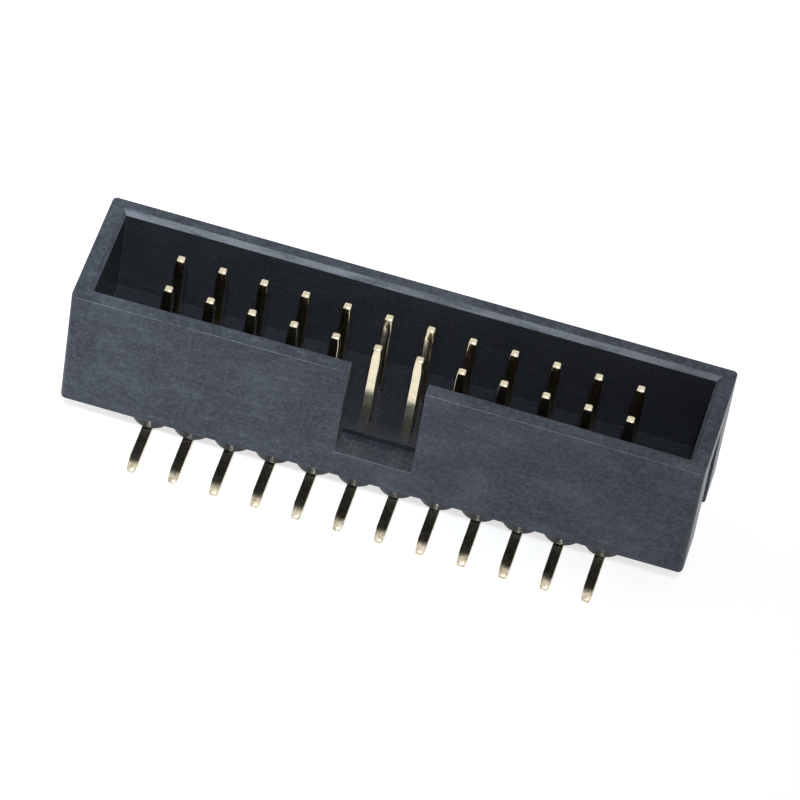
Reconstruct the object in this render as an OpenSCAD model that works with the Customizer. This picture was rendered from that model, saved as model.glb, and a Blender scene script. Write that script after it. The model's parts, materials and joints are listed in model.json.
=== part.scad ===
// Surface-mount box header: a keyed, open-topped plastic shroud on a scalloped base,
// with two rows of bent square-wire contacts whose feet lie flat on the board.
// Millimetres. +X runs along the rows, -Y is the keyed side, +Z points out of the cavity.
// The origin is at the centre of the footprint, in the plane of the feet.

/* [Contacts] */
// Number of contacts in each of the two rows
positions = 12; // [3:1:25]
// Distance between neighbouring contacts in a row
pitch = 2.54; // [2.4:0.01:3.2]
// Distance between the two rows
row_pitch = 2.54; // [2.2:0.01:3.2]
// Width and thickness of the square contact wire
wire_w = 0.64; // [0.4:0.01:0.8]
// Width of the flat end that the tapers leave on the wire
tip_w = 0.40; // [0.2:0.01:0.4]
// Length of the taper on the mating end
pin_taper = 0.80; // [0.3:0.05:1.5]
// Height of the mating end above the cavity floor
pin_height = 6.02; // [4:0.02:7]
// Distance from the axis of a contact to the end of its foot
foot_reach = 4.49; // [3:0.01:6]
// Length of the taper on the foot
foot_taper = 0.55; // [0.2:0.05:1]
// Inner radius of the bend between leg and foot
bend_r = 0.30; // [0.15:0.05:0.6]

/* [Shroud] */
// Width of the shroud over its side walls
shroud_w = 8.56; // [8:0.02:11]
// Height of the shroud from its bottom edge to its rim
shroud_h = 8.70; // [7.5:0.05:11]
// Distance from the axis of the last contact to the end face
end_overhang = 5.08; // [4.5:0.02:7]
// Height of the cavity floor above the bottom edge
floor_t = 2.40; // [1.6:0.05:3.4]
// Thickness of the two side walls
side_wall = 0.95; // [0.7:0.05:1.3]
// Thickness of the two end walls
end_wall = 1.07; // [0.8:0.01:1.6]
// Chamfer inside the rim on the plain side wall and both end walls
rim_chamfer = 0.28; // [0.1:0.02:0.5]
// Chamfer inside the rim on the keyed side wall
key_rim_chamfer = 0.10; // [0.05:0.01:0.3]
// Radius of the four upright outer corners
corner_r = 0.30; // [0.1:0.05:0.6]
// Radius of the bottom edge at both ends
foot_edge_r = 0.25; // [0.1:0.05:0.6]

/* [Key notch] */
// Width of the notch in the keyed side wall
notch_w = 4.68; // [3:0.02:6]
// Drop from the cavity floor to the sill of the notch
sill_drop = 0.45; // [0.2:0.05:1]
// How far the sill runs into the cavity past the wall
sill_run = 0.68; // [0.2:0.02:0.9]

/* [End recesses] */
// Width of the recess in each end face
recess_w = 3.00; // [1.5:0.1:4.5]
// Height of the plain band between the recess and the rim
recess_land = 1.90; // [1:0.1:3]
// Depth of the recess at its top edge
recess_lip = 0.08; // [0.04:0.01:0.15]
// Depth of the recess below its ramp
recess_depth = 0.33; // [0.2:0.01:0.5]
// Height of the ramp between the two depths
recess_ramp = 3.40; // [1:0.1:4]

/* [Base] */
// Height of the scalloped base below the shroud
base_h = 2.55; // [1:0.05:4]
// Diameter of the round collar about each contact
collar_d = 2.50; // [1.8:0.02:3]

/* [Fits] */
// Gap between the underside of the base and the top of the feet
foot_gap = 0.10; // [0.05:0.01:0.5]
// Gap between a contact and each side of its hole
hole_gap = 0.01; // [0.01:0.01:0.05]
// Gap between the bend of a contact and its relief
relief_gap = 0.05; // [0.02:0.01:0.1]
// How far the retention barbs stand out of the wire
barb_proud = 0.06; // [0.02:0.01:0.12]
// Length of the retention barbs
barb_l = 0.90; // [0.4:0.1:1.5]
// Depth of the barbs' shoulders below the cavity floor
barb_depth = 1.20; // [0.5:0.1:1.5]

/* [Hidden] */
// Overshoot of a cut past the face that it opens
cut = 0.5;
// Sides of a full circle
$fn = 64;
// Colours of the moulding and of the plated wire
moulding_colour = "#262b33";
wire_colour = "#d9bf86";

// Heights, from the board upwards
base_z = wire_w + foot_gap;
shroud_z = base_z + base_h;
floor_z = shroud_z + floor_t;
sill_z = floor_z - sill_drop;
rim_z = shroud_z + shroud_h;
pin_z = floor_z + pin_height;
bend_z = wire_w + bend_r;
barb_z = floor_z - barb_depth;

// Plan sizes
row_l = (positions - 1) * pitch;
shroud_l = row_l + 2 * end_overhang;
cavity_l = shroud_l - 2 * end_wall;
cavity_w = shroud_w - 2 * side_wall;
hole_w = wire_w + 2 * hole_gap;

// Contacts are numbered in pairs from -X: odd on the keyed side, even opposite
function contact_name(n) = str("contact_", n < 10 ? "0" : "", n);
function contact_x(n) = (ceil(n / 2) - (positions + 1) / 2) * pitch;
function on_keyed_side(n) = n % 2 == 1;

// Draws a profile given as [y, z] along X
module along_x(length) {
    rotate([90, 0, 90]) linear_extrude(length, center = true) children();
}

// Draws a profile given as [x, z] along Y
module along_y(length) {
    rotate([90, 0, 0]) linear_extrude(length, center = true) children();
}

// Places its children at a contact, with the foot's direction as -Y
module at_contact(n) {
    side = on_keyed_side(n) ? -1 : 1;
    turn = on_keyed_side(n) ? 0 : 180;
    translate([contact_x(n), side * row_pitch / 2, 0]) rotate([0, 0, turn]) children();
}

// Four-sided taper of the wire, pointing up from z = 0
module wire_taper(length) {
    outline = [[-wire_w / 2, 0], [wire_w / 2, 0], [tip_w / 2, length], [-tip_w / 2, length]];
    intersection() {
        along_x(wire_w) polygon(outline);
        along_y(wire_w) polygon(outline);
    }
}

// Wedges on both flanks of the wire: they slide down into the hole and bite on the way up
module barbs(gap = 0) {
    half = wire_w / 2;
    reach = half + barb_proud + gap;
    along_y(wire_w + 2 * gap)
        polygon([[-half, barb_z - barb_l - gap], [half, barb_z - barb_l - gap],
                 [reach, barb_z - gap], [reach, barb_z + gap],
                 [-reach, barb_z + gap], [-reach, barb_z - gap]]);
}

// Quarter bend from the leg to the foot, about an axis along X
module wire_bend() {
    translate([0, -wire_w / 2 - bend_r, bend_z])
        rotate([90, 0, 90])
            rotate([0, 0, -90])
                rotate_extrude(angle = 90)
                    translate([bend_r, -wire_w / 2]) square(wire_w);
}

// One contact: tapered pin, leg with barbs, bend and tapered foot
module contact(n) {
    foot_l = foot_reach - foot_taper - wire_w / 2 - bend_r;
    color(wire_colour) at_contact(n) {
        translate([-wire_w / 2, -wire_w / 2, bend_z])
            cube([wire_w, wire_w, pin_z - pin_taper - bend_z]);
        translate([0, 0, pin_z - pin_taper]) wire_taper(pin_taper);
        barbs();
        wire_bend();
        translate([-wire_w / 2, foot_taper - foot_reach, 0]) cube([wire_w, foot_l, wire_w]);
        translate([0, foot_taper - foot_reach, wire_w / 2])
            rotate([90, 0, 0]) wire_taper(foot_taper);
    }
}

// Space that one contact takes up in the moulding
module contact_hole(n) {
    hole_h = floor_z - base_z + 2 * cut;
    relief_l = bend_r + relief_gap;
    relief_w = wire_w + 2 * relief_gap;
    at_contact(n) {
        translate([-hole_w / 2, -hole_w / 2, base_z - cut]) cube([hole_w, hole_w, hole_h]);
        barbs(hole_gap);
        // Room for the bend to start inside the base
        translate([-relief_w / 2, -wire_w / 2 - relief_l, base_z - cut])
            cube([relief_w, relief_l, bend_z + relief_gap - base_z + cut]);
    }
}

// Outer block with rounded upright corners and rounded bottom edges at its ends
module shroud_block() {
    x = shroud_l / 2 - corner_r;
    y = shroud_w / 2 - corner_r;
    edge_x = shroud_l / 2 - foot_edge_r;
    edge_z = shroud_z + foot_edge_r;
    intersection() {
        translate([0, 0, shroud_z]) union() {
            translate([-x, -shroud_w / 2, 0]) cube([2 * x, shroud_w, shroud_h]);
            translate([-shroud_l / 2, -y, 0]) cube([shroud_l, 2 * y, shroud_h]);
            for (i = [-1, 1], j = [-1, 1])
                translate([i * x, j * y, 0]) cylinder(r = corner_r, h = shroud_h);
        }
        union() {
            translate([-shroud_l / 2, -shroud_w / 2, edge_z])
                cube([shroud_l, shroud_w, rim_z - edge_z]);
            translate([-edge_x, -shroud_w / 2, shroud_z])
                cube([2 * edge_x, shroud_w, shroud_h]);
            for (i = [-1, 1])
                translate([i * edge_x, 0, edge_z])
                    rotate([90, 0, 0]) cylinder(r = foot_edge_r, h = shroud_w, center = true);
        }
    }
}

// Scalloped base: a collar about each contact, joined by a web between the rows
module base_block() {
    translate([-row_l / 2, -row_pitch / 2, base_z]) cube([row_l, row_pitch, base_h + cut]);
    for (n = [1 : 2 * positions])
        at_contact(n) translate([0, 0, base_z]) cylinder(d = collar_d, h = base_h + cut);
}

// Mating cavity, with the chamfers inside its rim
module cavity() {
    half_l = cavity_l / 2;
    half_w = cavity_w / 2;
    flare = rim_chamfer + cut;
    key_flare = key_rim_chamfer + cut;
    intersection() {
        along_y(shroud_w + 4 * cut)
            polygon([[-half_l, floor_z], [half_l, floor_z], [half_l, rim_z - rim_chamfer],
                     [half_l + flare, rim_z + cut], [-half_l - flare, rim_z + cut],
                     [-half_l, rim_z - rim_chamfer]]);
        along_x(shroud_l + 4 * cut)
            polygon([[-half_w, floor_z], [half_w, floor_z], [half_w, rim_z - rim_chamfer],
                     [half_w + flare, rim_z + cut], [-half_w - key_flare, rim_z + cut],
                     [-half_w, rim_z - key_rim_chamfer]]);
    }
}

// Polarising notch through the keyed side wall, down to a sill below the cavity floor
module key_notch() {
    notch_y = side_wall + sill_run;
    translate([-notch_w / 2, -shroud_w / 2 - cut, sill_z])
        cube([notch_w, notch_y + cut, rim_z - sill_z + cut]);
}

// Shallow recess in the end face at +X, deepening down a ramp and open at the bottom
module end_recess() {
    face_x = shroud_l / 2;
    top_z = rim_z - recess_land;
    along_y(recess_w)
        polygon([[face_x + cut, shroud_z - cut], [face_x + cut, top_z],
                 [face_x - recess_lip, top_z], [face_x - recess_depth, top_z - recess_ramp],
                 [face_x - recess_depth, shroud_z - cut]]);
}

// The one-piece moulding
module housing() {
    color(moulding_colour) difference() {
        union() {
            shroud_block();
            base_block();
        }
        cavity();
        key_notch();
        end_recess();
        mirror([1, 0, 0]) end_recess();
        for (n = [1 : 2 * positions]) contact_hole(n);
    }
}

housing();
for (n = [1 : 2 * positions])
    contact(n);
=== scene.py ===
"""Finish and stage for a keyed surface-mount box header.

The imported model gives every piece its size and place. This file adds what the
solids leave out: the small radii of the moulding and the lean of its notched wall,
the rounded edges and tips of the wire, both materials, the floor, the light and
the camera.
"""

import json
import math

import bmesh
import bpy
from bpy.props import FloatProperty, FloatVectorProperty, PointerProperty
from mathutils import Matrix, Vector


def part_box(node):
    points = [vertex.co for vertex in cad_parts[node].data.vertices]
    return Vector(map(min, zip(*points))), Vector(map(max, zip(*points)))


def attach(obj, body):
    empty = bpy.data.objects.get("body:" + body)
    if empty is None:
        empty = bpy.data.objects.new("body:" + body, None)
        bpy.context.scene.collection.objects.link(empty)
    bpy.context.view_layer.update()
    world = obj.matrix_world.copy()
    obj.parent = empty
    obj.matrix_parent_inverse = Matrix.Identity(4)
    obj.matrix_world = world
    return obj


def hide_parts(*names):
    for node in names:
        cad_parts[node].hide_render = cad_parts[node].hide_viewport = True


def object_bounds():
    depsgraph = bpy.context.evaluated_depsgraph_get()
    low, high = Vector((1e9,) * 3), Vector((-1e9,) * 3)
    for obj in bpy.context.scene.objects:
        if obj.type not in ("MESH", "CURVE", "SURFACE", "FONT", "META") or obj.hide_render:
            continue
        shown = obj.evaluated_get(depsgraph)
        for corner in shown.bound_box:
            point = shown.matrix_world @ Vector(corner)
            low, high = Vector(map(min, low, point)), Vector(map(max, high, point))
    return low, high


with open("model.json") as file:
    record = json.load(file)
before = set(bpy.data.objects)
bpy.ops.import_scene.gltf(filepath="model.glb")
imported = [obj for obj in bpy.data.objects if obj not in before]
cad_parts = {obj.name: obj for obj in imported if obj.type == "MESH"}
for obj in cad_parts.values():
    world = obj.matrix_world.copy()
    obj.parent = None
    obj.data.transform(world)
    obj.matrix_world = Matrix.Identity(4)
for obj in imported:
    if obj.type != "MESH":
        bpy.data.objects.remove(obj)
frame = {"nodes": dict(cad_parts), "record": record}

bl_info = {
    "name": "Box Header Finish",
    "version": (1, 0, 0),
    "blender": (4, 5, 0),
    "location": "3D View > Sidebar > Box Header",
    "description": "Gives a box header its moulded edges, finishes, floor, light and camera",
    "category": "Object",
}

MM = 0.001
BODY = "root"
HOUSING = "housing"
CONTACTS = sorted(name for name in frame["nodes"] if name.startswith("contact_"))
CAD_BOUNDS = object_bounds()

HOUSING_LOW, HOUSING_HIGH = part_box(HOUSING)
CONTACT_BOXES = {name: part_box(name) for name in CONTACTS}


def named(rows, name):
    """The row of that name in one of the record's lists."""
    return next(row for row in rows if row["name"] == name)


CAVITY_FLOOR = named(frame["record"]["mounts"], "mating_cavity")["pos_m"][2]
NOTCH_OPENING = named(frame["record"]["physics"]["openings"], "key_notch")["box_m"]

# Half the length that holds the notch and its radii
NOTCH_HALF = NOTCH_OPENING[1][0] + 0.35 * MM
# The notched wall and its chamfer lie on the keyed side of this
WALL_Y = HOUSING_LOW.y + 1.6 * MM
# The sill of the notch and its radii lie on the keyed side of this
SILL_Y = HOUSING_LOW.y + 2.0 * MM
# Half the width, and the reach behind and in front, of the hole about a contact
HOLE_HALF = 0.46 * MM
HOLE_BEHIND = -0.06 * MM
HOLE_FRONT = 1.12 * MM

# Places closer than this are the same place
TOUCH = 1e-6
# A face this close to a plane lies in it
NEAR = 0.01 * MM
# Faces that turn by less than this have no edge between them
EDGE_ANGLE = math.radians(20)
# Faces that turn by more than this are shaded apart
SHARP_ANGLE = math.radians(32)

# Columns that each half of the notched wall is cut into, and how its lean grows with height
LEAN_COLUMNS = 9
LEAN_POWER = 1.3

# How smooth the base and the sill are, and how far painted shade darkens them, where the cavity is
# 1 and the outside is 0
BASE_SMOOTH_AND_SHADE = 0.4
SILL_SMOOTH_AND_SHADE = 0.5
# How far the plain chamfer is lit with a painted highlight, and how far the rim's radii and all
# other radii are worn and lit with a painted highlight, where the notch is 1
CHAMFER_HIGHLIGHT = 0.3
RIM_WORN_AND_LIT = 0.5
RADIUS_WORN_AND_LIT = 0.2


# ---------------------------------------------------------------- settings


class MouldingSettings(bpy.types.PropertyGroup):
    """Radii, lean and colours of the one-piece moulding."""

    rim_radius: FloatProperty(
        name="Rim radius",
        description="Rounding of the outer edges of the rim and of the upright corners",
        default=0.12 * MM, min=0.0, unit="LENGTH",
    )
    notch_radius: FloatProperty(
        name="Notch radius",
        description="Rounding of the edges of the polarising notch",
        default=0.12 * MM, min=0.0, unit="LENGTH",
    )
    inner_radius: FloatProperty(
        name="Inner radius",
        description="Rounding inside the corners of the cavity",
        default=0.05 * MM, min=0.0, unit="LENGTH",
    )
    small_radius: FloatProperty(
        name="Small radius",
        description="Rounding of the chamfers, the recesses and the base",
        default=0.04 * MM, min=0.0, unit="LENGTH",
    )
    wall_lean: FloatProperty(
        name="Wall lean",
        description="How far the notched wall leans inwards at the notch",
        default=0.15 * MM, min=0.0, unit="LENGTH",
    )
    colour: FloatVectorProperty(
        name="Plastic colour",
        description="Colour of the moulding's plastic",
        subtype="COLOR", size=3, min=0.0, max=1.0, default=(0.024, 0.028, 0.037),
    )
    fleck_colour: FloatVectorProperty(
        name="Fibre colour",
        description="Colour of the glass fibre that shows at the surface",
        subtype="COLOR", size=3, min=0.0, max=1.0, default=(0.100, 0.113, 0.134),
    )
    # Painted shade: the cavity faces, the sill and the base are darkened towards this colour in
    # place of the shade that falls in them
    painted_shade_colour: FloatVectorProperty(
        name="Cavity colour",
        description="Colour of the smoother faces inside the cavity",
        subtype="COLOR", size=3, min=0.0, max=1.0, default=(0.0165, 0.017, 0.019),
    )
    # Pale colour of dust flecks and worn radii, and of the painted highlight on the radii and the
    # plain chamfer
    dust_worn_and_lit_colour: FloatVectorProperty(
        name="Worn colour",
        description="Colour of the rubbed edges",
        subtype="COLOR", size=3, min=0.0, max=1.0, default=(0.40, 0.42, 0.45),
    )


class WireSettings(bpy.types.PropertyGroup):
    """Radii, tapered ends and colours of the plated contact wire."""

    edge_radius: FloatProperty(
        name="Wire edge radius",
        description="Rounding of the long edges of the square wire",
        default=0.05 * MM, min=0.0, unit="LENGTH",
    )
    tip_radius: FloatProperty(
        name="Tip radius",
        description="Rounding of the pin's tapered end, and of the corners of the foot's end",
        default=0.16 * MM, min=0.0, unit="LENGTH",
    )
    foot_radius: FloatProperty(
        name="Foot radius",
        description="Rounding of the long and level edges of the foot's tapered end",
        default=0.08 * MM, min=0.0, unit="LENGTH",
    )
    tip_width: FloatProperty(
        name="Tip width",
        description="Width of the flat that is left at both ends of the wire, before it is rounded",
        default=0.50 * MM, min=0.0, unit="LENGTH",
    )
    foot_taper: FloatProperty(
        name="Foot taper",
        description="Length of the taper on the foot",
        default=0.90 * MM, min=0.0, unit="LENGTH",
    )
    foot_tip: FloatProperty(
        name="Foot tip height",
        description="Height of the top edge at the very end of the foot",
        default=0.30 * MM, min=0.0, unit="LENGTH",
    )
    colour: FloatVectorProperty(
        name="Plating colour",
        description="Colour of the thin plating on the wire",
        subtype="COLOR", size=3, min=0.0, max=1.0, default=(0.80, 0.71, 0.52),
    )
    thin_colour: FloatVectorProperty(
        name="Thin plating colour",
        description="Colour where the plating is thin",
        subtype="COLOR", size=3, min=0.0, max=1.0, default=(0.66, 0.60, 0.46),
    )
    tarnish_colour: FloatVectorProperty(
        name="Tarnish colour",
        description="Colour of the dull patches on the feet",
        subtype="COLOR", size=3, min=0.0, max=1.0, default=(0.38, 0.31, 0.23),
    )


class StageSettings(bpy.types.PropertyGroup):
    """Camera, floor, fill light and key lamp."""

    camera_azimuth: FloatProperty(
        name="Camera azimuth",
        description="Turn of the camera about the object, from straight in front of the keyed side",
        default=math.radians(8.047), subtype="ANGLE",
    )
    camera_elevation: FloatProperty(
        name="Camera elevation",
        description="Height of the camera above the horizon",
        default=math.radians(47.67), subtype="ANGLE",
    )
    camera_roll: FloatProperty(
        name="Camera roll",
        description="Turn of the camera about its own axis",
        default=math.radians(9.847), subtype="ANGLE",
    )
    camera_distance: FloatProperty(
        name="Camera distance",
        description="Distance from the camera to the point that it looks at",
        default=361.0 * MM, unit="LENGTH",
    )
    camera_aim: FloatVectorProperty(
        name="Camera aim",
        description="Point that the camera looks at",
        size=3, subtype="TRANSLATION", unit="LENGTH", default=(0.309 * MM, 0.21 * MM, 6.15 * MM),
    )
    camera_lens: FloatProperty(
        name="Focal length",
        description="Focal length of the camera, in millimetres",
        default=276.6, unit="CAMERA",
    )
    floor_size: FloatProperty(
        name="Floor size",
        description="Width of the floor",
        default=3.0, unit="LENGTH",
    )
    floor_colour: FloatVectorProperty(
        name="Floor colour",
        description="Colour of the floor",
        subtype="COLOR", size=3, min=0.0, max=1.0, default=(0.52, 0.52, 0.52),
    )
    floor_lift: FloatProperty(
        name="Floor lift",
        description="Light that brings the floor up to white where it is seen or mirrored",
        default=0.68, min=0.0,
    )
    fill: FloatProperty(
        name="Fill light",
        description="Level of the even light from all round",
        default=0.58, min=0.0, max=1.0, subtype="FACTOR",
    )
    key_power: FloatProperty(
        name="Key light",
        description="Power of the lamp in front",
        default=0.031, unit="POWER",
    )
    key_colour: FloatVectorProperty(
        name="Key colour",
        description="Colour of the lamp in front",
        subtype="COLOR", size=3, min=0.0, max=1.0, default=(0.82, 0.91, 1.0),
    )
    key_size: FloatProperty(
        name="Key size",
        description="Diameter of the key lamp",
        default=70.0 * MM, unit="LENGTH",
    )
    key_distance: FloatProperty(
        name="Key distance",
        description="Distance from the key lamp to the point that it is aimed at",
        default=1.0, unit="LENGTH",
    )
    key_offset: FloatProperty(
        name="Key offset",
        description="How far to the left of the middle the key lamp is aimed",
        default=38.0 * MM, unit="LENGTH",
    )
    key_reach: FloatProperty(
        name="Key reach",
        description="Distance from its aim at which the key lamp's grid has cut off all its light",
        default=75.0 * MM, unit="LENGTH",
    )
    key_azimuth: FloatProperty(
        name="Key azimuth",
        description="Turn of the key lamp about the object, from straight in front",
        default=math.radians(7.0), subtype="ANGLE",
    )
    key_elevation: FloatProperty(
        name="Key elevation",
        description="Height of the key lamp above the horizon",
        default=math.radians(54.0), subtype="ANGLE",
    )


# ---------------------------------------------------------------- shader helpers


class Shade:
    """A material's node tree, with one short method for each kind of node."""

    def __init__(self, name):
        self.material = bpy.data.materials.new(name)
        self.material.use_nodes = True
        self.tree = self.material.node_tree
        self.tree.nodes.clear()
        self.output = self.tree.nodes.new("ShaderNodeOutputMaterial")
        self.principled = self.tree.nodes.new("ShaderNodeBsdfPrincipled")
        self.link(self.principled.outputs[0], self.output.inputs["Surface"])
        self.place = self.tree.nodes.new("ShaderNodeTexCoord").outputs["Object"]

    def link(self, source, target):
        """Joins an output to an input."""
        self.tree.links.new(source, target)

    def put(self, value, socket):
        """Links a socket to another, or sets a plain value on it."""
        if isinstance(value, bpy.types.NodeSocket):
            self.link(value, socket)
        else:
            socket.default_value = value

    def stretched(self, x, y, z):
        """Object coordinates multiplied along each axis."""
        node = self.tree.nodes.new("ShaderNodeVectorMath")
        node.operation = "MULTIPLY"
        self.link(self.place, node.inputs[0])
        node.inputs[1].default_value = (x, y, z)
        return node.outputs[0]

    def noise(self, size, detail=2.0, roughness=0.5, vector=None):
        """Soft noise whose cells are about size metres across."""
        node = self.tree.nodes.new("ShaderNodeTexNoise")
        self.link(vector or self.place, node.inputs["Vector"])
        node.inputs["Scale"].default_value = 1.0 / size
        node.inputs["Detail"].default_value = detail
        node.inputs["Roughness"].default_value = roughness
        return node.outputs["Fac"]

    def cells(self, size):
        """Voronoi cells about size metres across; gives (distance, cell colour)."""
        node = self.tree.nodes.new("ShaderNodeTexVoronoi")
        self.link(self.place, node.inputs["Vector"])
        node.inputs["Scale"].default_value = 1.0 / size
        return node.outputs["Distance"], node.outputs["Color"]

    def ramp(self, value, low, high, to_low=0.0, to_high=1.0):
        """Value between low and high, smoothly mapped to another range."""
        node = self.tree.nodes.new("ShaderNodeMapRange")
        node.interpolation_type = "SMOOTHSTEP"
        self.put(value, node.inputs["Value"])
        node.inputs["From Min"].default_value = low
        node.inputs["From Max"].default_value = high
        node.inputs["To Min"].default_value = to_low
        node.inputs["To Max"].default_value = to_high
        return node.outputs["Result"]

    def math(self, operation, a, b):
        """One sum on two values."""
        node = self.tree.nodes.new("ShaderNodeMath")
        node.operation = operation
        self.put(a, node.inputs[0])
        self.put(b, node.inputs[1])
        return node.outputs[0]

    def blend(self, share, a, b):
        """Value a where share is 0, and value b where it is 1."""
        node = self.tree.nodes.new("ShaderNodeMix")
        self.put(share, node.inputs["Factor"])
        self.put(a, node.inputs["A"])
        self.put(b, node.inputs["B"])
        return node.outputs["Result"]

    def mix(self, share, a, b):
        """Colour a where share is 0, and colour b where it is 1."""
        node = self.tree.nodes.new("ShaderNodeMix")
        node.data_type = "RGBA"
        self.put(share, node.inputs["Factor"])
        self.put(a if isinstance(a, bpy.types.NodeSocket) else (*a, 1.0), node.inputs["A"])
        self.put(b if isinstance(b, bpy.types.NodeSocket) else (*b, 1.0), node.inputs["B"])
        return node.outputs["Result"]

    def axis(self, letter):
        """One object coordinate."""
        node = self.tree.nodes.new("ShaderNodeSeparateXYZ")
        self.link(self.place, node.inputs[0])
        return node.outputs[letter]

    def attribute(self, name):
        """A value that is stored on the mesh."""
        node = self.tree.nodes.new("ShaderNodeAttribute")
        node.attribute_name = name
        return node.outputs["Fac"]

    def bump(self, height, depth):
        """Relief of depth metres; gives the new normal."""
        node = self.tree.nodes.new("ShaderNodeBump")
        node.inputs["Strength"].default_value = 1.0
        node.inputs["Distance"].default_value = depth
        self.put(height, node.inputs["Height"])
        return node.outputs["Normal"]

    def surface(self, **values):
        """Sets the shader's own sockets, or links them."""
        for name, value in values.items():
            socket = self.principled.inputs[name.replace("_", " ")]
            if isinstance(value, tuple) and len(value) == 3:
                value = (*value, 1.0)
            self.put(value, socket)


# ---------------------------------------------------------------- materials


def moulded_plastic(settings):
    """Glass-filled plastic: mottled and grained outside, smoother inside with painted shade, worn
    at its edges with a painted highlight.
    """
    shade = Shade("moulded_plastic")
    # The inside share gives the smoother finish and the painted shade; the edge share gives the
    # worn radii and the painted highlight
    inside = shade.attribute("inside")
    edge = shade.attribute("edge")
    cloud = shade.noise(3.6 * MM, detail=3.0)
    mottle = shade.noise(0.22 * MM, detail=3.0, roughness=0.60)
    grain = shade.noise(0.09 * MM, detail=2.0)
    smudge = shade.noise(
        1.3 * MM, detail=4.0, roughness=0.65, vector=shade.stretched(0.45, 0.8, 1.0),
    )
    flow = shade.noise(0.30 * MM, detail=3.0, vector=shade.stretched(0.22, 0.7, 1.0))
    scuff = shade.noise(
        0.9 * MM, detail=5.0, roughness=0.7, vector=shade.stretched(0.14, 0.5, 1.0),
    )
    speck, pick = shade.cells(0.85 * MM)

    flecks = shade.math("MULTIPLY", shade.ramp(mottle, 0.30, 0.84), 0.60)
    streaks = shade.math("MULTIPLY", shade.ramp(flow, 0.52, 0.80), 0.40)
    tone = shade.math("ADD", flecks, streaks)
    tone = shade.math("ADD", tone, shade.ramp(cloud, 0.30, 0.75, 0.0, 0.22))
    tone = shade.math("ADD", tone, shade.ramp(smudge, 0.42, 0.78, 0.0, 0.30))
    colour = shade.mix(tone, tuple(settings.colour), tuple(settings.fleck_colour))

    chosen = shade.ramp(pick, 0.74, 0.76)
    dust = shade.math("MULTIPLY", shade.ramp(speck, 0.030, 0.055, 1.0, 0.0), chosen)
    colour = shade.mix(shade.math("MULTIPLY", dust, 0.6), colour, tuple(settings.dust_worn_and_lit_colour))

    # Painted highlight: the radii are lit up with the pale colour as well as worn, and the plain
    # chamfer is only lit up
    worn_and_lit = shade.math("MULTIPLY", edge, shade.ramp(scuff, 0.34, 0.58))
    colour = shade.mix(shade.math("MULTIPLY", worn_and_lit, 0.85), colour, tuple(settings.dust_worn_and_lit_colour))

    # Painted shade: the cavity, the sill and the base are darkened
    colour = shade.mix(shade.math("MULTIPLY", inside, 0.80), colour, tuple(settings.painted_shade_colour))

    rough = shade.ramp(mottle, 0.30, 0.75, 0.31, 0.42)
    rough = shade.math("MULTIPLY", rough, shade.ramp(inside, 0.0, 1.0, 1.0, 0.50))
    height = shade.math("ADD", shade.math("MULTIPLY", grain, 0.7), mottle)
    height = shade.math("MULTIPLY", height, shade.ramp(inside, 0.0, 1.0, 1.0, 0.20))
    normal = shade.bump(height, 0.012 * MM)
    shade.surface(
        Base_Color=colour, Roughness=rough, IOR=1.50, Specular_IOR_Level=0.18, Normal=normal,
    )
    return shade.material


def plated_wire(settings):
    """Thin plating over drawn wire: fine lines along its length, and tarnish on the feet."""
    shade = Shade("plated_wire")
    on_pin = shade.ramp(shade.axis("Z"), 0.95 * MM, 1.05 * MM)
    pin_lines = shade.noise(0.045 * MM, detail=3.0, vector=shade.stretched(1.0, 1.0, 0.03))
    foot_lines = shade.noise(0.045 * MM, detail=3.0, vector=shade.stretched(1.0, 0.03, 1.0))
    lines = shade.blend(on_pin, foot_lines, pin_lines)
    stain = shade.noise(0.35 * MM, detail=4.0, roughness=0.6)

    thin = shade.math("MULTIPLY", shade.ramp(stain, 0.42, 0.70), 0.6)
    colour = shade.mix(thin, tuple(settings.colour), tuple(settings.thin_colour))
    patches = shade.ramp(shade.noise(0.25 * MM, detail=4.0, roughness=0.65), 0.38, 0.64)
    tarnish = shade.math("MULTIPLY", patches, shade.ramp(on_pin, 0.0, 1.0, 0.75, 0.0))
    colour = shade.mix(tarnish, colour, tuple(settings.tarnish_colour))
    rough = shade.ramp(stain, 0.30, 0.70, 0.10, 0.18)
    rough = shade.math("ADD", rough, shade.ramp(on_pin, 0.0, 1.0, 0.09, 0.0))
    height = shade.math("MULTIPLY", lines, shade.ramp(on_pin, 0.0, 1.0, 1.0, 0.25))
    normal = shade.bump(height, 0.0020 * MM)
    shade.surface(Base_Color=colour, Metallic=1.0, Roughness=rough, Normal=normal)
    return shade.material


def lifted_white(tree, surface, lift):
    """Adds light of its own, for the camera and for reflections, to a surface."""
    path = tree.nodes.new("ShaderNodeLightPath")
    seen = path.outputs["Is Camera Ray"]
    for way in ("Is Glossy Ray", "Is Transmission Ray"):
        either = tree.nodes.new("ShaderNodeMath")
        either.operation = "MAXIMUM"
        tree.links.new(seen, either.inputs[0])
        tree.links.new(path.outputs[way], either.inputs[1])
        seen = either.outputs[0]
    level = tree.nodes.new("ShaderNodeMath")
    level.operation = "MULTIPLY"
    tree.links.new(seen, level.inputs[0])
    level.inputs[1].default_value = lift
    glow = tree.nodes.new("ShaderNodeEmission")
    tree.links.new(level.outputs[0], glow.inputs["Strength"])
    both = tree.nodes.new("ShaderNodeAddShader")
    tree.links.new(surface, both.inputs[0])
    tree.links.new(glow.outputs[0], both.inputs[1])
    return both.outputs[0]


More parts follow.
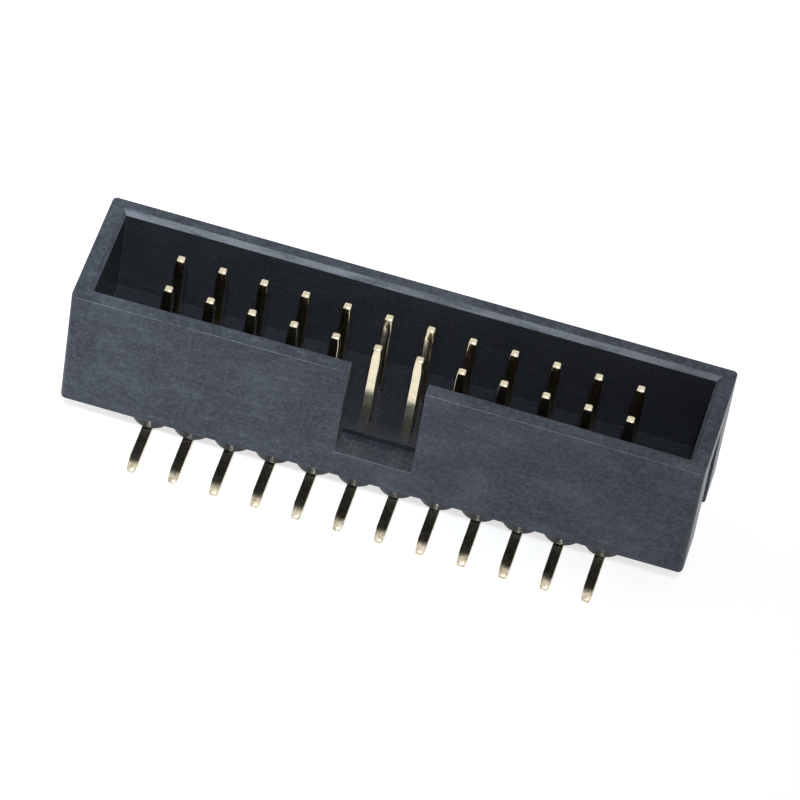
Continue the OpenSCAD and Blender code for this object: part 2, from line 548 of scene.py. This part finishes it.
def floor_paint(settings):
    """Matt pale floor that keeps the object's shadow and otherwise reads as white."""
    shade = Shade("pale_floor")
    grain = shade.noise(2.0 * MM, detail=3.0)
    tint = tuple(settings.floor_colour)
    colour = shade.mix(shade.ramp(grain, 0.3, 0.7), tint, tuple(0.99 * c for c in tint))
    shade.surface(Base_Color=colour, Roughness=0.9, Specular_IOR_Level=0.0)
    white = lifted_white(shade.tree, shade.principled.outputs[0], settings.floor_lift)
    shade.link(white, shade.output.inputs["Surface"])
    return shade.material


def studio_world(settings):
    """Even pale surroundings: white where they are seen, softer where they light."""
    world = bpy.data.worlds.new("studio")
    world.use_nodes = True
    tree = world.node_tree
    tree.nodes.clear()
    output = tree.nodes.new("ShaderNodeOutputWorld")
    base = tree.nodes.new("ShaderNodeBackground")
    base.inputs["Strength"].default_value = settings.fill
    lit = lifted_white(tree, base.outputs[0], 1.0 - settings.fill)
    tree.links.new(lit, output.inputs["Surface"])
    return world


# ---------------------------------------------------------------- rounded copies


def welded_copy(name):
    """Editable copy of a node's mesh, with each flat face in one piece."""
    mesh_edit = bmesh.new()
    mesh_edit.from_mesh(frame["nodes"][name].data)
    bmesh.ops.remove_doubles(mesh_edit, verts=mesh_edit.verts, dist=1e-7)
    bmesh.ops.dissolve_limit(
        mesh_edit, angle_limit=math.radians(0.5),
        verts=mesh_edit.verts, edges=mesh_edit.edges,
    )
    return mesh_edit


def rounded_piece(mesh_edit, name, widest):
    """Object with radii on its weighted edges; the faces of the radii are in material slot 1."""
    mesh = bpy.data.meshes.new(name)
    mesh_edit.to_mesh(mesh)
    mesh_edit.free()
    piece = bpy.data.objects.new(name, mesh)
    bpy.context.scene.collection.objects.link(piece)
    for marker in ("flat_marker", "radius_marker"):
        made = bpy.data.materials.get(marker)
        mesh.materials.append(made or bpy.data.materials.new(marker))
    radii = piece.modifiers.new("radii", "BEVEL")
    radii.limit_method = "WEIGHT"
    radii.width = widest
    radii.segments = 3
    radii.material = 1
    radii.use_clamp_overlap = True
    radii.loop_slide = True
    graph = bpy.context.evaluated_depsgraph_get()
    rounded = bpy.data.meshes.new_from_object(piece.evaluated_get(graph))
    piece.modifiers.clear()
    piece.data = rounded
    bpy.data.meshes.remove(mesh)
    rounded.name = name
    return piece


def finish_piece(piece, material):
    """Gives a rounded piece its one material and smooth shading between its edges."""
    mesh = piece.data
    for face in mesh.polygons:
        face.material_index = 0
        face.use_smooth = True
    mesh.materials.clear()
    mesh.materials.append(material)
    mesh.set_sharp_from_angle(angle=SHARP_ANGLE)
    weighting = piece.modifiers.new("face_weighting", "WEIGHTED_NORMAL")
    weighting.keep_sharp = True
    weighting.weight = 60


# ---------------------------------------------------------------- the moulding


def in_contact_hole(point):
    """True for a point in the hole or the relief that a contact passes through."""
    for low, high in CONTACT_BOXES.values():
        keyed = low.y + high.y < 0.0
        side = -1.0 if keyed else 1.0
        middle = (low.x + high.x) / 2
        back = high.y if keyed else low.y
        reach = (point.y - back) * side
        if abs(point.x - middle) < HOLE_HALF and HOLE_BEHIND < reach < HOLE_FRONT:
            return True
    return False


def edge_weights(mesh_edit, settings):
    """Gives each edge its radius, as a share of the widest one."""
    weight = mesh_edit.edges.layers.float.new("bevel_weight_edge")
    widest = max(settings.rim_radius, settings.notch_radius,
                 settings.inner_radius, settings.small_radius)
    near = 2 * NEAR
    for edge in mesh_edit.edges:
        angle = edge.calc_face_angle_signed(0.0)
        if abs(angle) < EDGE_ANGLE:
            continue
        a, b = (vertex.co for vertex in edge.verts)
        if in_contact_hole(a) and in_contact_hole(b):
            continue
        at_rim = min(a.z, b.z) > HOUSING_HIGH.z - near
        at_keyed_side = max(a.y, b.y) < HOUSING_LOW.y + near
        at_plain_side = min(a.y, b.y) > HOUSING_HIGH.y - near
        at_end = min(abs(a.x), abs(b.x)) > HOUSING_HIGH.x - near
        at_notch = max(abs(a.x), abs(b.x)) < NOTCH_HALF and max(a.y, b.y) < SILL_Y
        if angle < 0:
            inside = min(a.z, b.z) > CAVITY_FLOOR - 1.0 * MM
            radius = settings.inner_radius if inside else 0.0
        elif at_notch:
            radius = settings.notch_radius
        elif at_rim and (at_keyed_side or at_plain_side or at_end):
            radius = settings.rim_radius
        else:
            radius = settings.small_radius
        edge[weight] = radius / widest
    return widest


def lean_notched_wall(mesh_edit, settings):
    """Leans the two halves of the notched wall inwards, most at the notch and at the rim."""
    half = HOUSING_HIGH.x
    bottom = CAVITY_FLOOR - 3 * MM
    for step in range(-LEAN_COLUMNS, LEAN_COLUMNS + 1):
        centres = [(face, face.calc_center_median()) for face in mesh_edit.faces]
        wall = [face for face, centre in centres if centre.y < WALL_Y and centre.z > bottom]
        edges = {edge for face in wall for edge in face.edges}
        corners = {corner for face in wall for corner in face.verts}
        bmesh.ops.bisect_plane(
            mesh_edit, geom=[*wall, *edges, *corners], dist=TOUCH,
            plane_co=(half * step / (LEAN_COLUMNS + 1), 0, 0), plane_no=(1, 0, 0),
        )
    height = HOUSING_HIGH.z - CAVITY_FLOOR
    for vertex in mesh_edit.verts:
        rise = (vertex.co.z - CAVITY_FLOOR) / height
        if vertex.co.y < WALL_Y and rise > 0:
            along = math.sin((1 - abs(vertex.co.x) / half) * math.pi / 2)
            vertex.co.y += settings.wall_lean * along * rise ** LEAN_POWER


def cavity_half_sizes(mesh_edit):
    """Half the length and half the width of the cavity, measured at its floor."""
    corners = [v.co for v in mesh_edit.verts if abs(v.co.z - CAVITY_FLOOR) < TOUCH]
    return max(abs(c.x) for c in corners), max(c.y for c in corners)


def smooth_and_shade_share(face, half_l, half_w, base_top):
    """How far a face has the smoother finish and the painted shade: all in the cavity, and less on
    sill and base.
    """
    x, y, z = face.center
    over_floor = abs(x) < half_l + NEAR and abs(y) < half_w + NEAR and z > CAVITY_FLOOR - NEAR
    if face.material_index == 0 and over_floor and z < HOUSING_HIGH.z - NEAR:
        return 1.0
    # Painted shade under the shroud: the base is darkened, as well as smoother
    if z < base_top - NEAR:
        return BASE_SMOOTH_AND_SHADE
    in_notch = abs(x) < NOTCH_HALF and HOUSING_LOW.y + NEAR < y < 0
    if in_notch and base_top + NEAR < z < CAVITY_FLOOR:
        # The riser of the sill takes the full painted shade
        return SILL_SMOOTH_AND_SHADE if face.normal.z > 0.9 else 1.0
    return 0.0


def worn_and_lit_share(face, half_w):
    """How far a face is worn and lit with a painted highlight: most on the radii of the notched
    wall.
    """
    y, z = face.center.y, face.center.z
    at_rim = z > HOUSING_HIGH.z - 0.3 * MM
    if face.material_index == 0:
        # The plain chamfer has the painted highlight only
        on_plain_chamfer = at_rim and y > half_w and 0.3 < face.normal.z < 0.9
        return CHAMFER_HIGHLIGHT if on_plain_chamfer else 0.0
    if y < SILL_Y and z > CAVITY_FLOOR - 1.0 * MM:
        return 1.0
    return RIM_WORN_AND_LIT if at_rim else RADIUS_WORN_AND_LIT


def mark_faces(mesh, half_l, half_w):
    """Stores on each face how far it is worn and lit with a painted highlight, and how far it has
    the smoother finish and the painted shade.
    """
    outer_y = HOUSING_LOW.y + 0.5 * MM
    base_top = min(face.center.z for face in mesh.polygons if face.center.y < outer_y)
    worn_and_lit_shares = [worn_and_lit_share(face, half_w) for face in mesh.polygons]
    inside = [smooth_and_shade_share(face, half_l, half_w, base_top) for face in mesh.polygons]
    # The edge attribute carries the worn radii and the painted highlight; the inside attribute
    # carries the smoother finish and the painted shade
    mesh.attributes.new("edge", "FLOAT", "FACE").data.foreach_set("value", worn_and_lit_shares)
    mesh.attributes.new("inside", "FLOAT", "FACE").data.foreach_set("value", inside)


def build_moulding(settings):
    """Copy of the housing with radii on its edges and a lean to its notched wall."""
    mesh_edit = welded_copy(HOUSING)
    half_l, half_w = cavity_half_sizes(mesh_edit)
    widest = edge_weights(mesh_edit, settings)
    lean_notched_wall(mesh_edit, settings)
    piece = rounded_piece(mesh_edit, "moulding", widest)
    mark_faces(piece.data, half_l, half_w)
    finish_piece(piece, moulded_plastic(settings))
    return piece


class HEADER_OT_moulding(bpy.types.Operator):
    """Build the moulding with its radii and its plastic finish"""

    bl_idname = "box_header.moulding"
    bl_label = "Moulding"

    def execute(self, context):
        settings = context.scene.box_header_moulding
        piece = build_moulding(settings)
        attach(piece, BODY)
        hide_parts(HOUSING)
        return {"FINISHED"}


# ---------------------------------------------------------------- the contacts


def widen_tip(corners, width):
    """Spreads the corners of one end of the wire to the given width, about their middle."""
    middle = sum((vertex.co for vertex in corners), Vector()) / len(corners)
    for vertex in corners:
        for axis in range(2):
            offset = vertex.co[axis] - middle[axis]
            if abs(offset) > TOUCH:
                vertex.co[axis] = middle[axis] + math.copysign(width / 2, offset)


def shape_wire_ends(mesh_edit, high, end, side, settings):
    """Widens both tips, and gives the foot its full taper with a top that slopes further down."""
    pin_tip = [v for v in mesh_edit.verts if v.co.z > high.z - TOUCH]
    foot_tip = [v for v in mesh_edit.verts if abs(v.co.y - end) < TOUCH]
    # The corners next after the tip are those where the taper of the solid begins
    steps = sorted({round(abs(vertex.co.y - end), 6) for vertex in mesh_edit.verts})
    taper = steps[1]
    for vertex in mesh_edit.verts:
        if abs(abs(vertex.co.y - end) - taper) < TOUCH:
            vertex.co.y = end - side * settings.foot_taper
    for vertex in foot_tip:
        vertex.co.z = min(vertex.co.z, settings.foot_tip)
    widen_tip(pin_tip, settings.tip_width)
    widen_tip(foot_tip, settings.tip_width)


def wire_weights(mesh_edit, low, high, end, settings):
    """Gives the long edges of the wire one radius, and the edges of each tapered end theirs."""
    weight = mesh_edit.edges.layers.float.new("bevel_weight_edge")
    middle = (low.x + high.x) / 2
    on_board = [v.co.x for v in mesh_edit.verts if v.co.z < low.z + 0.1 * MM]
    half = max(abs(x - middle) for x in on_board)
    pin_end = high.z - 0.9 * MM
    foot_end = settings.foot_taper + 0.05 * MM
    widest = max(settings.edge_radius, settings.tip_radius, settings.foot_radius)
    for edge in mesh_edit.edges:
        if abs(edge.calc_face_angle_signed(0.0)) < EDGE_ANGLE:
            continue
        points = [vertex.co for vertex in edge.verts]
        on_barb = any(abs(p.x - middle) > half + NEAR / 2 for p in points)
        if on_barb:
            continue
        upright = abs(points[0].x - points[1].x) < TOUCH
        at_corner = upright and all(abs(p.y - end) < TOUCH for p in points)
        if at_corner or all(p.z > pin_end for p in points):
            radius = settings.tip_radius
        elif all(abs(p.y - end) < foot_end for p in points):
            radius = settings.foot_radius
        else:
            radius = settings.edge_radius
        edge[weight] = radius / widest
    return widest


def build_wire(name, settings, plating):
    """Copy of one contact with rounded edges and tips, and the full taper on its foot."""
    low, high = CONTACT_BOXES[name]
    keyed = low.y + high.y < 0.0
    side = -1.0 if keyed else 1.0
    end = low.y if keyed else high.y
    mesh_edit = welded_copy(name)
    shape_wire_ends(mesh_edit, high, end, side, settings)
    widest = wire_weights(mesh_edit, low, high, end, settings)
    piece = rounded_piece(mesh_edit, name.replace("contact", "wire"), widest)
    finish_piece(piece, plating)
    return piece


class HEADER_OT_contacts(bpy.types.Operator):
    """Build all contacts with their rounded wire edges and tips and their plated finish"""

    bl_idname = "box_header.contacts"
    bl_label = "Contacts"

    def execute(self, context):
        settings = context.scene.box_header_wire
        plating = plated_wire(settings)
        for name in CONTACTS:
            piece = build_wire(name, settings, plating)
            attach(piece, BODY)
            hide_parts(name)
        return {"FINISHED"}


# ---------------------------------------------------------------- the stage


def direction(azimuth, elevation):
    """Unit vector towards that side; azimuth 0 is straight in front of the keyed side."""
    flat = math.cos(elevation)
    return Vector((math.sin(azimuth) * flat, -math.cos(azimuth) * flat, math.sin(elevation)))


def make_floor(settings):
    """Round floor in the plane of the feet."""
    mesh_edit = bmesh.new()
    bmesh.ops.create_circle(
        mesh_edit, cap_ends=True, segments=96, radius=settings.floor_size / 2,
    )
    mesh = bpy.data.meshes.new("floor")
    mesh_edit.to_mesh(mesh)
    mesh_edit.free()
    floor = bpy.data.objects.new("floor", mesh)
    bpy.context.scene.collection.objects.link(floor)
    floor.location.z = CAD_BOUNDS[0].z
    mesh.materials.append(floor_paint(settings))


def make_key(settings):
    """Small lamp in front and above, with a grid that keeps its light to the left half."""
    lamp = bpy.data.lights.new("key", "AREA")
    lamp.shape = "DISK"
    lamp.size = settings.key_size
    lamp.energy = settings.key_power
    lamp.color = settings.key_colour
    lamp.spread = 2 * math.atan(settings.key_reach / settings.key_distance)
    key = bpy.data.objects.new("key", lamp)
    bpy.context.scene.collection.objects.link(key)
    middle = Vector(settings.camera_aim)
    towards = direction(settings.key_azimuth, settings.key_elevation)
    key.location = middle + towards * settings.key_distance
    aim = middle - Vector((settings.key_offset, 0.0, 0.0))
    key.rotation_euler = (key.location - aim).to_track_quat("Z", "Y").to_euler()


def make_camera(settings):
    """Camera with a long lens, rolled a little about its own axis."""
    back = direction(settings.camera_azimuth, settings.camera_elevation)
    turn = settings.camera_azimuth
    right = Vector((math.cos(turn), math.sin(turn), 0.0))
    up = back.cross(right)
    level = Matrix((right, up, back)).transposed()
    axes = level @ Matrix.Rotation(settings.camera_roll, 3, "Z")
    lens = bpy.data.cameras.new("camera")
    lens.lens = settings.camera_lens
    lens.clip_start = 10 * MM
    camera = bpy.data.objects.new("camera", lens)
    bpy.context.scene.collection.objects.link(camera)
    place = Vector(settings.camera_aim) + back * settings.camera_distance
    camera.matrix_world = Matrix.Translation(place) @ axes.to_4x4()
    bpy.context.scene.camera = camera


class HEADER_OT_stage(bpy.types.Operator):
    """Make the floor, the light and the camera"""

    bl_idname = "box_header.stage"
    bl_label = "Stage"

    def execute(self, context):
        settings = context.scene.box_header_stage
        make_floor(settings)
        make_key(settings)
        context.scene.world = studio_world(settings)
        make_camera(settings)
        context.scene.view_settings.view_transform = "Standard"
        return {"FINISHED"}


# ---------------------------------------------------------------- the panel


class HEADER_PT_panel(bpy.types.Panel):
    """Lists the pieces of the header and what can be set on them"""

    bl_label = "Box Header"
    bl_idname = "HEADER_PT_panel"
    bl_space_type = "VIEW_3D"
    bl_region_type = "UI"
    bl_category = "Box Header"

    def draw(self, context):
        scene = context.scene
        rows = (
            ("box_header.moulding", scene.box_header_moulding),
            ("box_header.contacts", scene.box_header_wire),
            ("box_header.stage", scene.box_header_stage),
        )
        for operator, settings in rows:
            box = self.layout.box()
            box.operator(operator)
            for name in settings.__annotations__:
                box.prop(settings, name)


SETTINGS = {
    "box_header_moulding": MouldingSettings,
    "box_header_wire": WireSettings,
    "box_header_stage": StageSettings,
}
CLASSES = (
    *SETTINGS.values(),
    HEADER_OT_moulding,
    HEADER_OT_contacts,
    HEADER_OT_stage,
    HEADER_PT_panel,
)


def register():
    """Adds the settings, the operators and the panel."""
    for cls in CLASSES:
        bpy.utils.register_class(cls)
    for name, group in SETTINGS.items():
        setattr(bpy.types.Scene, name, PointerProperty(type=group))


def unregister():
    """Takes away what register added."""
    for name in SETTINGS:
        delattr(bpy.types.Scene, name)
    for cls in reversed(CLASSES):
        bpy.utils.unregister_class(cls)


def main():
    """Builds the header and its stage."""
    register()
    bpy.ops.box_header.moulding()
    bpy.ops.box_header.contacts()
    bpy.ops.box_header.stage()


if __name__ == "__main__":
    main()
